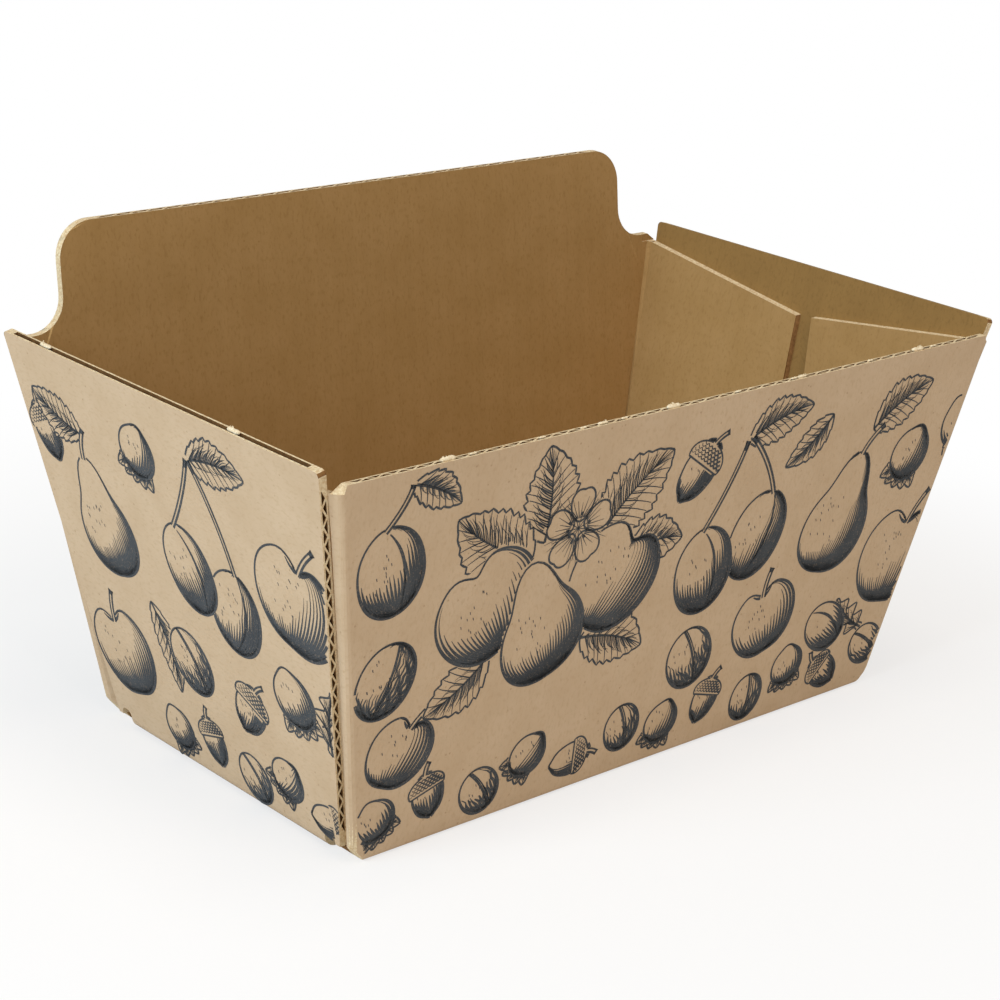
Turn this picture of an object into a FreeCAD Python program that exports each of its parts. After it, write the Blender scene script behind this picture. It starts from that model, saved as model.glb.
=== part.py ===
import FreeCAD, Part
import os
import Sketcher
from math import atan2, cos, radians, sin, tan

# A leaning tray box, folded and glued from one die-cut sheet of fine corrugated board.
# Frame: +Z up, +X along the long sides, the low front wall towards -Y.
# Origin: centre of the base, on its underside. Lengths in millimetres, angles in degrees.

# Driving sizes, kept in the document's sheet
SIZES = {
    "board": 1.5,                # thickness of the corrugated board
    "liner": 0.25,               # each of its two flat papers
    "flute_pitch": 3.35,         # one wave of the paper between them
    "flute_wall": 0.4,           # board left between two neighbouring channels
    "flute_depth": 2.5,          # how far an open channel is followed in from a cut edge
    "groove_depth": 1.6,         # the same for the flute that lies open along an end wall's top
    "edge_margin": 1.2,          # crushed board at the ends of a cut edge, with no channel
    "base_length": 121.2,        # fold to fold, outside, under the end walls
    "base_width": 67.7,          # fold to fold, outside, under the long walls
    "long_lean": 7.9,            # outward lean of the front and back walls
    "end_lean": 12.9,            # outward lean of the end walls
    "rim_height": 67.8,          # front rim, and the shoulders of the back wall
    "corner_inset": 2.63,        # corner fold at the rim, back from the end wall's outer face
    "crease_outset": 2.1,        # the same fold carried down to the table, out from that face
    "notch_inset": 2.0,          # end of a long wall's lower fold, back from the end wall's
    "notch_height": 5.9,         # where a corner fold ends over its notch
    "tongue_height": 3.0,        # front left corner, where the fold hangs lower as a tongue
    "back_rise": 17.7,           # raised panel of the back wall, over the rim
    "shoulder_length": 9.05,     # corner fold to the side of the raised panel
    "shoulder_radius": 5.8,      # hollow curve from a shoulder to the raised panel
    "raised_radius": 6.3,        # rounded top corners of the raised panel
    "end_rise": 2.0,             # top edge of the end walls, over the rim
    "end_foot_gap": 3.6,         # side edge of an end wall, in from the long wall, at the table
    "end_top_gap": 1.94,         # the same at the top
    "end_corner_radius": 1.6,    # rounded top corners of an end wall
    "arch_width": 2.6,           # small arched notch beside the fold of an end wall
    "arch_height": 3.4,
    "leg_width": 0.85,           # sliver of end wall left outside the arch
    "leg_height": 1.9,           # its tip over the table
    "flap_gap": 0.3,             # from an end wall's cut edge to the start of the glued flap
    "front_flap_stop": 3.46,     # free end of a front flap at the rim, short of the middle
    "back_flap_stop": 0.26,      # the same for a back flap
    "flap_drop": 1.4,            # flap's top edge under the rim, beside the corner fold
    "flap_top_slope": 7.4,       # its fall towards the free end
    "flap_end_lean": 2.5,        # lean of the free end
    "flap_foot": 7.0,            # flap's lower edge over the table
    "corner_fold_radius": 1.0,   # outside of the four corner folds
    "long_fold_radius": 1.3,     # outside of the folds under the long walls
    "end_fold_radius": 2.4,      # outside of the softer folds under the end walls
}

# Sizes that follow from them, as formulas in the same sheet
FOLLOWING = {
    "foot_length": "base_length - 2 * notch_inset",
    "crease_foot": "base_length + 2 * crease_outset",
    "rim_length": "base_length + 2 * rim_height * tan(end_lean * 1 deg) - 2 * corner_inset",
    "raised_length": "rim_length - 2 * shoulder_length",
    "back_height": "rim_height + back_rise",
    "end_height": "rim_height + end_rise",
    "end_foot_width": "base_width - 2 * end_foot_gap",
    "end_top_width": "base_width + 2 * end_height * tan(long_lean * 1 deg) - 2 * end_top_gap",
    "end_crease_width": "end_foot_width - 2 * leg_width - 2 * arch_width",
    "rim_half_width": "base_width / 2 + rim_height * tan(long_lean * 1 deg)",
    "front_flap_reach": "rim_half_width - front_flap_stop",
    "back_flap_reach": "rim_half_width - back_flap_stop",
}

doc = FreeCAD.newDocument("tray_box_document")
sheet = doc.addObject("Spreadsheet::Sheet", "sizes")
cells = [(alias, str(value)) for alias, value in SIZES.items()]
cells += [(alias, f"={formula}") for alias, formula in FOLLOWING.items()]
for row, (alias, content) in enumerate(cells, start=1):
    sheet.set(f"A{row}", alias)
    sheet.set(f"B{row}", content)
    sheet.setAlias(f"B{row}", alias)
doc.recompute()


def size(alias):
    """A driving size, as the sheet holds it."""
    return float(sheet.get(alias))


# Panels: sketches bound to the sheet, padded and rounded

OUT = "200"             # frame of a trimming outline, far outside the box
FAR = "100"             # beyond the board all round, but inside that frame
CLOSE = 0.01            # places nearer than this count as the same


def plus(*terms):
    return " + ".join(f"({term})" for term in terms)


def negative(formula):
    return f"-({formula})"


def value_of(formula):
    """What a formula of the sheet comes to now, for the first place of a sketch's corner."""
    return float(sheet.evalExpression(formula.replace("sizes.", "")))


def add_loop(sketch, corners):
    """A closed loop of straight lines in a sketch, each corner held by two formulas."""
    first = sketch.GeometryCount
    places = [FreeCAD.Vector(value_of(across), value_of(up), 0) for across, up in corners]
    count = len(corners)
    for index in range(count):
        sketch.addGeometry(Part.LineSegment(places[index], places[(index + 1) % count]), False)
    for index in range(count):
        follower = first + (index + 1) % count
        sketch.addConstraint(Sketcher.Constraint("Coincident", first + index, 2, follower, 1))
    for index, corner in enumerate(corners):
        for kind, formula, value in zip(("DistanceX", "DistanceY"), corner, places[index]):
            constraint = Sketcher.Constraint(kind, -1, 1, first + index, 1, value)
            number = sketch.addConstraint(constraint)
            sketch.setExpression(f"Constraints[{number}]", formula)


def outline_sketch(body, name, plane_role, corners):
    """A sketch with one closed outline, on one of the body's own planes."""
    sketch = body.newObject("Sketcher::SketchObject", name)
    plane = next(item for item in body.Origin.OriginFeatures if item.Role == plane_role)
    sketch.AttachmentSupport = [(plane, "")]
    sketch.MapMode = "FlatFace"
    add_loop(sketch, corners)
    return sketch


def pad(body, sketch, length):
    """Board of this length to both sides of the sketch's plane."""
    feature = body.newObject("PartDesign::Pad", sketch.Name + "_pad")
    feature.Profile = sketch
    feature.Midplane = True
    feature.setExpression("Length", length)
    doc.recompute()
    return feature


def trim(body, name, plane_role, half):
    """Cut all away round an outline, of which the half on the positive side is given."""
    kept = half + [(negative(across), up) for across, up in reversed(half)]
    sketch = outline_sketch(body, name, plane_role, kept)
    frame = [(f"-{OUT}", f"-{OUT}"), (OUT, f"-{OUT}"), (OUT, OUT), (f"-{OUT}", OUT)]
    add_loop(sketch, frame)
    feature = body.newObject("PartDesign::Pocket", name + "_trim")
    feature.Profile = sketch
    feature.Type = "ThroughAll"
    feature.Midplane = True
    doc.recompute()
    return feature


def round_edges(body, base, radius, chosen):
    """Round the edges whose middle the test accepts."""
    names = [f"Edge{number}" for number, edge in enumerate(base.Shape.Edges, start=1)
             if chosen(edge.CenterOfMass, edge)]
    feature = body.newObject("PartDesign::Fillet", f"{base.Name}_round")
    feature.Base = (base, names)
    feature.setExpression("Radius", radius)
    doc.recompute()
    return feature


# Base: the flat middle of the sheet

BASE_SHORT = 0.8     # of the board's thickness: the base ends inside the feet of the long walls


def base_panel():
    body = doc.addObject("PartDesign::Body", "base_panel")
    half_length = "sizes.foot_length / 2"
    half_width = f"sizes.base_width / 2 - {BASE_SHORT} * sizes.board"
    corners = [
        (negative(half_length), negative(half_width)),
        (half_length, negative(half_width)),
        (half_length, half_width),
        (negative(half_length), half_width),
    ]
    sketch = outline_sketch(body, "base_outline", "XY_Plane", corners)
    feature = body.newObject("PartDesign::Pad", "base_pad")
    feature.Profile = sketch
    feature.setExpression("Length", "sizes.board")
    doc.recompute()
    return body


# End wall: an L-shaped section, base to top edge, cut to its outline with two arched notches

FOOT_LAP = "6 * sizes.board"     # how far an end wall's foot runs on in the base
ARCH_ROUNDING = 0.45             # of the arch's width, for its top corners: nearly a half round
END_SLOPE = "tan(sizes.end_lean * 1 deg)"
END_SIDE_SLOPE = "(sizes.end_top_width - sizes.end_foot_width) / 2 / sizes.end_height"


def end_edge(height):
    """Half width of an end wall between its cut side edges, at this height."""
    return f"sizes.end_foot_width / 2 + ({height}) * {END_SIDE_SLOPE}"


def end_panel():
    body = doc.addObject("PartDesign::Body", "end_panel")
    fold = "sizes.base_length / 2"
    lip = f"sizes.foot_length / 2 - {FOOT_LAP}"
    across = "sizes.board * cos(sizes.end_lean * 1 deg)"
    rise = "sizes.board * sin(sizes.end_lean * 1 deg)"
    top = plus(fold, f"sizes.end_height * {END_SLOPE}")
    inner_fold = plus(fold, f"sizes.board * {END_SLOPE}",
                      "-sizes.board / cos(sizes.end_lean * 1 deg)")
    section = [
        (lip, "0"),
        (fold, "0"),
        (top, "sizes.end_height"),
        (plus(top, negative(across)), plus("sizes.end_height", rise)),
        (inner_fold, "sizes.board"),
        (lip, "sizes.board"),
    ]
    strip = pad(body, outline_sketch(body, "end_section", "XZ_Plane", section), OUT)

    crease = "sizes.end_crease_width / 2"
    arch_far = plus(crease, "sizes.arch_width")
    over_top = f"sizes.end_height + {FOOT_LAP}"
    half = [
        (crease, f"-{FAR}"),
        (crease, "sizes.arch_height"),
        (arch_far, "sizes.arch_height"),
        (arch_far, "sizes.leg_height"),
        (end_edge("sizes.leg_height"), "sizes.leg_height"),
        (end_edge(over_top), over_top),
    ]
    pocket = trim(body, "end_outline", "YZ_Plane", half)

    def arch_top(middle, edge):
        level = abs(middle.z - size("arch_height")) < CLOSE
        return level and abs(edge.tangentAt(0).y) < CLOSE

    def top_corner(middle, edge):
        across_board = abs(edge.Length - size("board")) < CLOSE
        return across_board and middle.z > size("end_height") - size("board")

    def fold_edge(middle, edge):
        return abs(middle.z) < CLOSE and abs(middle.x - size("base_length") / 2) < CLOSE

    body.Tip = round_edges(body, pocket, f"sizes.arch_width * {ARCH_ROUNDING}", arch_top)
    body.Tip = round_edges(body, body.Tip, "sizes.end_corner_radius", top_corner)
    body.Tip = round_edges(body, body.Tip, "sizes.end_fold_radius", fold_edge)
    return body


# Long wall: front or back wall with its two corner folds and glued flaps, one bent strip

# The corner folds aren't quite parallel to the end walls that the flaps are glued to, so between
# fold and flap the strip twists a little. Sections at several heights are joined by narrow facets.

TWIST_LEVELS = 8
FOLD_FACETS = 4
FLAP_LAP = 4          # thicknesses of board past the middle, before a flap is cut to length
FLAT = 1e-7           # four corners this near to one plane make one face


def inner_corner(corner, before, after):
    """Where the board's inner face turns, at a bend whose inward normals on each side are given."""
    return corner + (before + after) * (size("board") / (1 + before.dot(after)))


def half_section(height, side):
    """The bent strip's right half at one height: along the outside, then back along the inside."""
    lean, slant = radians(size("long_lean")), radians(size("end_lean"))
    outer_y = size("base_width") / 2 + height * tan(lean)
    flap_x = size("base_length") / 2 + height * tan(slant) - size("board") / cos(slant)
    flap_in_x = flap_x - size("board") / cos(slant)
    crease_grow = (size("rim_length") - size("crease_foot")) / 2 / size("rim_height")
    edge_grow = (size("end_top_width") - size("end_foot_width")) / 2 / size("end_height")
    edge_y = size("end_foot_width") / 2 + height * edge_grow
    past_middle = -FLAP_LAP * size("board")

    crease = FreeCAD.Vector(size("crease_foot") / 2 + height * crease_grow, outer_y, height)
    landing = FreeCAD.Vector(flap_x, edge_y + size("flap_gap"), height)
    run = (landing - crease).normalize()
    wall_in, strip_in, flap_in = (
        FreeCAD.Vector(0, -1, 0), FreeCAD.Vector(run.y, -run.x, 0), FreeCAD.Vector(-1, 0, 0))
    landing_in = inner_corner(landing, strip_in, flap_in)
    landing_in.x = flap_in_x
    crease_in = inner_corner(crease, wall_in, strip_in)
    crease_in.y = outer_y - size("board") / cos(lean)

    turn = atan2(-run.y, run.x)
    radius = size("corner_fold_radius")
    centre = crease - FreeCAD.Vector(radius * tan(turn / 2), radius, 0)
    fold = [centre + FreeCAD.Vector(sin(angle), cos(angle), 0) * radius
            for angle in (turn * index / FOLD_FACETS for index in range(FOLD_FACETS + 1))]
    free_end = [FreeCAD.Vector(flap_x, past_middle, height),
                FreeCAD.Vector(flap_in_x, past_middle, height)]
    points = fold + [landing] + free_end + [landing_in, crease_in]
    return [FreeCAD.Vector(point.x, side * point.y, point.z) for point in points]


def whole_section(height, side):
    right = half_section(height, side)
    return right + [FreeCAD.Vector(-point.x, point.y, point.z) for point in reversed(right)]


def facets(low, low_next, high_next, high):
    """One flat face through four corners where they allow it, or else two triangles."""
    across, up = low_next - low, high - low
    if abs(across.cross(up).normalize().dot(high_next - low)) < FLAT:
        return [Part.Face(Part.makePolygon([low, low_next, high_next, high, low]))]
    return [Part.Face(Part.makePolygon([low, low_next, high_next, low])),
            Part.Face(Part.makePolygon([low, high_next, high, low]))]


def bent_strip(name, side, top):
    """The strip before it is cut to its outline, from the table up to the height given."""
    sections = [whole_section(top * level / TWIST_LEVELS, side)
                for level in range(TWIST_LEVELS + 1)]
    faces = [Part.Face(Part.makePolygon(section + section[:1]))
             for section in (sections[0], sections[-1])]
    for low, high in zip(sections, sections[1:]):
        for index in range(len(low)):
            follower = (index + 1) % len(low)
            faces += facets(low[index], low[follower], high[follower], high[index])
    shell = Part.Shell(faces)
    shell.sewShape()
    solid = Part.Solid(shell)
    if solid.Volume < 0:
        solid.reverse()
    feature = doc.addObject("Part::Feature", name)
    feature.Shape = solid
    return feature


CREASE_GROWTH = "(sizes.rim_length - sizes.crease_foot) / 2 / sizes.rim_height"


def notch_corner(height):
    """Where the slanted notch edge of a long wall stands at this height, as across and up."""
    at_notch = plus("sizes.crease_foot / 2", f"sizes.notch_height * {CREASE_GROWTH}")
    slant = f"({at_notch} - sizes.foot_length / 2) / sizes.notch_height"
    return plus("sizes.foot_length / 2", f"({height}) * {slant}"), height


def wall_outline(name, left_notch):
    """The face-on outline of a long wall under the rim, with its notched lower corners."""
    body = doc.addObject("PartDesign::Body", name)
    right_across, right_up = notch_corner("sizes.notch_height")
    left_across, left_up = notch_corner(left_notch)
    corners = [
        ("sizes.foot_length / 2", "0"), (right_across, right_up), (OUT, right_up),
        (OUT, "sizes.rim_height"), (f"-{OUT}", "sizes.rim_height"),
        (f"-{OUT}", left_up), (negative(left_across), left_up), ("-sizes.foot_length / 2", "0"),
    ]
    pad(body, outline_sketch(body, f"{name}_sketch", "XZ_Plane", corners), OUT)
    return body


def raised_panel():
    """The back wall's part over the rim: a leaning slab between two rounded shoulders."""
    body = doc.addObject("PartDesign::Body", "raised_panel")
    lean = "tan(sizes.long_lean * 1 deg)"
    across = "sizes.board / cos(sizes.long_lean * 1 deg)"
    foot = "sizes.rim_height - 2 * sizes.board"
    low_y = plus("sizes.base_width / 2", f"({foot}) * {lean}")
    high_y = plus("sizes.base_width / 2", f"sizes.back_height * {lean}")
    section = [
        (low_y, foot), (high_y, "sizes.back_height"),
        (plus(high_y, negative(across)), "sizes.back_height"), (plus(low_y, negative(across)), foot),
    ]
    sketch = outline_sketch(body, "raised_section", "YZ_Plane", section)
    pad(body, sketch, "sizes.raised_length + 2 * sizes.shoulder_radius + sizes.board")
    half = [
        (FAR, f"-{FAR}"), (FAR, "sizes.rim_height"),
        ("sizes.raised_length / 2", "sizes.rim_height"), ("sizes.raised_length / 2", FAR),
    ]
    trimmed = trim(body, "raised_outline", "XZ_Plane", half)

    def at(level):
        def chosen(middle, edge):
            on_side = abs(abs(middle.x) - size("raised_length") / 2) < CLOSE
            return on_side and abs(middle.z - size(level)) < CLOSE
        return chosen

    body.Tip = round_edges(body, trimmed, "sizes.raised_radius", at("back_height"))
    body.Tip = round_edges(body, body.Tip, "sizes.shoulder_radius", at("rim_height"))
    return body


def flap_outline(name, side, reach):
    """The outline of wall and flaps seen from the end: the flaps fall and narrow inwards."""
    body = doc.addObject("PartDesign::Body", name)
    rim_inner = plus("sizes.rim_half_width", "-sizes.board / cos(sizes.long_lean * 1 deg)")
    foot_inner = "sizes.base_width / 2 - 2 * sizes.board"
    free = plus("sizes.rim_half_width", f"-sizes.{reach}")
    fall = "tan(sizes.flap_top_slope * 1 deg)"
    high = "sizes.rim_height - sizes.flap_drop"
    low = plus(high, f"-(sizes.{reach} - sizes.board) * {fall}")
    free_foot = plus(free, f"(({low}) - sizes.flap_foot) * tan(sizes.flap_end_lean * 1 deg)")
    half = [
        (OUT, f"-{OUT}"), (OUT, OUT), (rim_inner, OUT), (rim_inner, high),
        (free, low), (free_foot, "sizes.flap_foot"),
        (foot_inner, "sizes.flap_foot"), (foot_inner, f"-{OUT}"),
    ]
    corners = [(x if side > 0 else negative(x), z) for x, z in half]
    pad(body, outline_sketch(body, f"{name}_sketch", "YZ_Plane", corners), OUT)
    return body


def common(name, first, second):
    feature = doc.addObject("Part::Common", name)
    feature.Base = first
    feature.Tool = second
    doc.recompute()
    return feature


def long_wall(name, side, left_notch, reach):
    """One bent strip cut to its two outlines, with the fold under the wall rounded."""
    strip = bent_strip(f"{name}_strip", side, size("rim_height"))
    outline = wall_outline(f"{name}_outline", left_notch)
    flaps = flap_outline(f"{name}_flap_outline", side, reach)
    cut = common(f"{name}_cut", common(f"{name}_cut_face_on", strip, outline), flaps)
    radius = size("long_fold_radius")
    feature = doc.addObject("Part::Fillet", name)
    feature.Base = cut
    feature.Edges = [
        (number, radius, radius) for number, edge in enumerate(cut.Shape.Edges, start=1)
        if abs(edge.CenterOfMass.z) < CLOSE
        and abs(abs(edge.CenterOfMass.y) - size("base_width") / 2) < CLOSE
    ]
    doc.recompute()
    return feature


# Open flutes: the waved paper inside the board, seen as channels wherever the board is cut

def prism(corners, depth, overcut):
    """A channel of this outline, let in by a depth, with a short overcut in front of the edge."""
    back = depth * (-overcut / depth.Length)
    outline = [corner + back for corner in corners]
    return Part.Face(Part.makePolygon(outline + outline[:1])).extrude(depth - back)


def channel_row(start, end, across, depth):
    """Wedges along a cut edge, pointing to either face of the board in turn.

    Start and end lie on the outer face, and across runs from there to the inner face."""
    half_wave = size("flute_pitch") / 2
    liner = across * (size("liner") / size("board"))
    core = across - liner * 2
    steepness = atan2(core.Length, half_wave)
    half_base = half_wave - size("flute_wall") / 2 / sin(steepness)
    rise = core * (half_base / half_wave)

    span = end - start
    room = span.Length - 2 * (size("edge_margin") + half_base)
    count = int(room / half_wave) + 1
    first = size("edge_margin") + half_base + (room - (count - 1) * half_wave) / 2
    along = FreeCAD.Vector(span).normalize()
    cut_depth = depth * size("flute_depth")
    row = []
    for index in range(count):
        foot = start + along * (first + index * half_wave) + (liner if index % 2 else liner + core)
        tip = foot + (rise if index % 2 else -rise)
        wedge = [foot - along * half_base, foot + along * half_base, tip]
        row.append(prism(wedge, cut_depth, size("flap_gap") / 2))
    return row


def long_wall_channels(side, height, half_length):
    """Down into the top edge of a long wall, along its lean."""
    lean = radians(size("long_lean"))
    outer_y = side * (size("base_width") / 2 + height * tan(lean))
    return channel_row(FreeCAD.Vector(-half_length, outer_y, height),
                       FreeCAD.Vector(half_length, outer_y, height),
                       FreeCAD.Vector(0, -side * size("board") / cos(lean), 0),
                       FreeCAD.Vector(0, -side * sin(lean), -cos(lean)))


def flap_channels(end, side, reach):
    """Down into the falling top edge of a glued flap."""
    slant = radians(size("end_lean"))
    high = size("rim_height") - size("flap_drop")
    low = high - (reach - size("board")) * tan(radians(size("flap_top_slope")))
    board_x = size("board") / cos(slant)

    def at(y, height):
        outer_x = size("base_length") / 2 + height * tan(slant) - board_x
        return FreeCAD.Vector(end * outer_x, side * y, height)

    rim_outer = size("rim_half_width")
    return channel_row(at(rim_outer - size("board"), high), at(rim_outer - reach, low),
                       FreeCAD.Vector(-end * board_x, 0, 0),
                       FreeCAD.Vector(-end * sin(slant), 0, -cos(slant)))


def end_side_channels(end, side):
    """Level ones into the cut side edge of an end wall, whose flutes lie crosswise."""
    slant = radians(size("end_lean"))
    grow = (size("end_top_width") - size("end_foot_width")) / 2 / size("end_height")

    def at(height):
        outer_x = size("base_length") / 2 + height * tan(slant)
        return FreeCAD.Vector(end * outer_x, side * (size("end_foot_width") / 2 + height * grow), height)

    return channel_row(at(size("arch_height")), at(size("end_height") - size("end_corner_radius")),
                       FreeCAD.Vector(-end * size("board") / cos(slant), 0, 0),
                       FreeCAD.Vector(0, -side, 0))


def end_top_groove(end):
    """The one flute that the top edge of an end wall lays open along its length."""
    slant = radians(size("end_lean"))
    half = size("end_top_width") / 2 - size("end_corner_radius") - size("edge_margin")
    inward = FreeCAD.Vector(-end * cos(slant), 0, sin(slant))
    down = FreeCAD.Vector(-end * sin(slant), 0, -cos(slant))
    outer_x = size("base_length") / 2 + size("end_height") * tan(slant)
    middle = FreeCAD.Vector(end * outer_x, 0, size("end_height"))
    run = FreeCAD.Vector(0, half, 0)
    near, far = inward * size("liner"), inward * (size("board") - size("liner"))
    corners = [middle + near - run, middle + near + run, middle + far + run, middle + far - run]
    return prism(corners, down * size("groove_depth"), size("flap_gap"))


def all_channels():
    rows = long_wall_channels(-1, size("rim_height"), size("rim_length") / 2)
    raised_half = size("raised_length") / 2 - size("raised_radius")
    rows += long_wall_channels(1, size("back_height"), raised_half)
    for end in (1, -1):
        for side, reach in ((-1, size("front_flap_reach")), (1, size("back_flap_reach"))):
            rows += flap_channels(end, side, reach) + end_side_channels(end, side)
        rows.append(end_top_groove(end))
    return rows


# The folded sheet

base = base_panel()
right_end = end_panel()
left_end = doc.addObject("Part::Mirroring", "left_end")
left_end.Source = right_end
left_end.Normal = FreeCAD.Vector(1, 0, 0)
front = long_wall("front_wall", -1, "sizes.tongue_height", "front_flap_reach")
back = long_wall("back_wall", 1, "sizes.notch_height", "back_flap_reach")
raised = raised_panel()
folded = doc.addObject("Part::MultiFuse", "folded_sheet")
folded.Shapes = [base, right_end, left_end, front, back, raised]
folded.Refine = True
flutes = doc.addObject("Part::Feature", "open_flutes")
flutes.Shape = Part.makeCompound(all_channels())
tray = doc.addObject("Part::Cut", "fluted_sheet")
tray.Base = folded
tray.Tool = flutes
tray.Label = "tray_box"

# Checks, then the file

doc.recompute()
for item in doc.Objects:
    if "Invalid" in item.State or "Error" in item.State:
        raise SystemExit(f"{item.Name} did not build: {item.State}")
os.makedirs("parts", exist_ok=True)
for part in [tray]:
    if part.Shape.isNull() or not part.Shape.isValid() or len(part.Shape.Solids) != 1:
        raise SystemExit(f"{part.Label} is not one sound solid")
    part.Shape.exportStep(f"parts/{part.Label}.step")
    box = part.Shape.BoundBox
    print(part.Label, round(box.XLength, 1), round(box.YLength, 1), round(box.ZLength, 1),
          "volume", round(part.Shape.Volume), "faces", len(part.Shape.Faces))
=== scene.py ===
# %% [markdown]
# # A corrugated tray box in Blender
#
# The tray is folded and glued from one sheet of fine corrugated board. Its solid comes ready made
# as the frame: four leaning walls, a base, four glued flaps and the open flutes at every cut edge.
# This lesson dresses it: real paper finishes on each face of the board, a pen-drawn print on the
# outside, torn tufts on the rim, and then a floor, soft light and a camera.

# %% Load the frame
import math
import random

import bmesh
import bpy
import numpy as np
from mathutils import Matrix, Vector


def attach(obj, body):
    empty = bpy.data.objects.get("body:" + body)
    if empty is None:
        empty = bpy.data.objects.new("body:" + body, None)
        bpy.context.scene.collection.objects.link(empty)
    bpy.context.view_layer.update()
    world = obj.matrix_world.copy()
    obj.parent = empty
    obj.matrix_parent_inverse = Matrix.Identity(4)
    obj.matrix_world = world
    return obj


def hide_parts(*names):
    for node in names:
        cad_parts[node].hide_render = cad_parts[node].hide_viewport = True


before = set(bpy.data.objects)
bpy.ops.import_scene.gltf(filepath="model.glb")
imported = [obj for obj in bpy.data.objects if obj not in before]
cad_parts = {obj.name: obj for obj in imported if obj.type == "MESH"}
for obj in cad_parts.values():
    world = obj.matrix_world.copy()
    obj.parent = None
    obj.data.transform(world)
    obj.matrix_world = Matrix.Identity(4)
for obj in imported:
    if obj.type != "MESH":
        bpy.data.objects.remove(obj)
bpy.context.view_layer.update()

MM = 0.001

# %% [markdown]
# ## The sizes that the finishes need
#
# The walls lean outwards, so a pattern or a drawing on one of them needs that wall's own plane. A
# wall is described by how far its outer face stands from the middle at the table, its lean, and
# the direction it faces. These few numbers are the board's own.

# %% Board and walls
BOARD = 1.5 * MM
FLUTE_PITCH = 3.35 * MM
LONG_LEAN = math.radians(7.9)
END_LEAN = math.radians(12.9)
HALF_WIDTH = 33.85 * MM
HALF_LENGTH = 60.6 * MM
RIM_HEIGHT = 67.8 * MM
BACK_HEIGHT = 85.5 * MM
END_HEIGHT = 69.8 * MM
END_FOOT_SIDE = HALF_WIDTH - 3.6 * MM
END_TOP_SIDE = HALF_WIDTH + END_HEIGHT * math.tan(LONG_LEAN) - 1.94 * MM
END_SIDE_GROWTH = (END_TOP_SIDE - END_FOOT_SIDE) / END_HEIGHT
RIM_CREASE = HALF_LENGTH + RIM_HEIGHT * math.tan(END_LEAN) - 2.63 * MM
RIM_HALF_WIDTH = HALF_WIDTH + RIM_HEIGHT * math.tan(LONG_LEAN)
FLAP_GAP = 0.4 * MM                 # from an end wall's side edge to the start of its flap, at most
FLAP_DROP = 1.4 * MM
FLAP_TOP_SLOPE = math.tan(math.radians(7.4))
FLAP_END_LEAN = math.tan(math.radians(2.5))
FLAP_STOP = {-1: 3.46 * MM, 1: 0.26 * MM}


class Wall:
    """A leaning wall's outer face: a point at its foot, and its right, up and outward directions."""

    def __init__(self, name, facing, foot, lean):
        self.name = name
        out = Vector((math.cos(facing), math.sin(facing), 0))
        self.foot = out * foot
        self.right = Vector((-out.y, out.x, 0))
        self.up = out * math.sin(lean) + Vector((0, 0, math.cos(lean)))
        self.out = out * math.cos(lean) - Vector((0, 0, math.sin(lean)))

    def depth(self, point):
        """How deep a point lies under the outer face."""
        return (self.foot - point).dot(self.out)

    def place(self, across, height, proud=0.0):
        """The point at this place on the wall, across and up along its face."""
        return self.foot + self.right * across + self.up * height + self.out * proud


WALLS = {
    "front": Wall("front", -math.pi / 2, HALF_WIDTH, LONG_LEAN),
    "back": Wall("back", math.pi / 2, HALF_WIDTH, LONG_LEAN),
    "right": Wall("right", 0, HALF_LENGTH, END_LEAN),
    "left": Wall("left", math.pi, HALF_LENGTH, END_LEAN),
}

# %% [markdown]
# ## The board and its faces
#
# One solid carries five finishes: the outer liner, the inner liner, a darker copy of the inner liner
# inside the end walls, which is painted shade there, the pale cut edge and the waved paper in the open
# flutes. The solid's own material slot is one for all, so a copy of it takes its place, merged first
# because the frame's mesh is loose triangles.

# %% Copy the folded sheet
def make_active(piece):
    """Select this piece and no other, so that edit mode works on it alone."""
    bpy.ops.object.select_all(action="DESELECT")
    piece.select_set(True)
    bpy.context.view_layer.objects.active = piece


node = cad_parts["tray_box"]
sheet = bpy.data.objects.new("tray_sheet", node.data.copy())
bpy.context.scene.collection.objects.link(sheet)
sheet.data.transform(node.matrix_world)
make_active(sheet)
bpy.ops.object.mode_set(mode="EDIT")
bpy.ops.mesh.select_all(action="SELECT")
bpy.ops.mesh.remove_doubles(threshold=0.002 * MM)
bpy.ops.object.mode_set(mode="OBJECT")
print("folded sheet:", len(sheet.data.vertices), "points,", len(sheet.data.polygons), "faces")

# %% [markdown]
# A real sheet has its liners before it is cut and folded, so where a face lies tells its paper. Each
# face gets its finish by its depth under the wall's outer face and by its normal, and nothing has to
# be picked by hand.

# %% Sort its faces by where they lie
# The fifth finish is the inner liner painted darker inside the end walls: painted shade, not another
# paper.
FINISHES = ("outer", "inner", "cut", "flute", "end inner painted shade")
OUTER, INNER, CUT, FLUTE, END_INNER_PAINTED_SHADE = range(len(FINISHES))
NEAR = 0.03 * MM
PARALLEL, SLANTED = 0.99, 0.1       # a normal's share along a direction, at least
UPRIGHT = 0.5                       # its share upwards, at most, for a face that counts as upright
CORE = (0.14, 0.86)                 # where the waved paper lies, in thicknesses of board
BASE_TOP = 2 * MM                   # the base lies below it
NOTCH_TOP = 6 * MM                  # folds and notches of the lower corners end below it
END_FOLD_HALF = 27.5 * MM           # half length of the fold under an end wall
LONG_FOLD_START = 32 * MM           # the folds under the long walls lie beyond it, across the box
CHANNEL_DEPTH = 3 * MM              # the rim's channels end less deep than this
CORNER_START = Vector((55 * MM, 30 * MM))  # the corner folds lie beyond it, from the middle


def past_end_side(point):
    """How far a point lies past the cut side edge of an end wall, towards the corner fold."""
    return abs(point.y) - END_FOOT_SIDE - END_SIDE_GROWTH * point.z


def on_corner_fold(points):
    """Whether a face lies on the bent strip between a long wall and its flap."""
    clear = min(past_end_side(point) for point in points) > FLAP_GAP / 2
    return clear and min(point.z for point in points) < RIM_HEIGHT - CHANNEL_DEPTH


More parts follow.
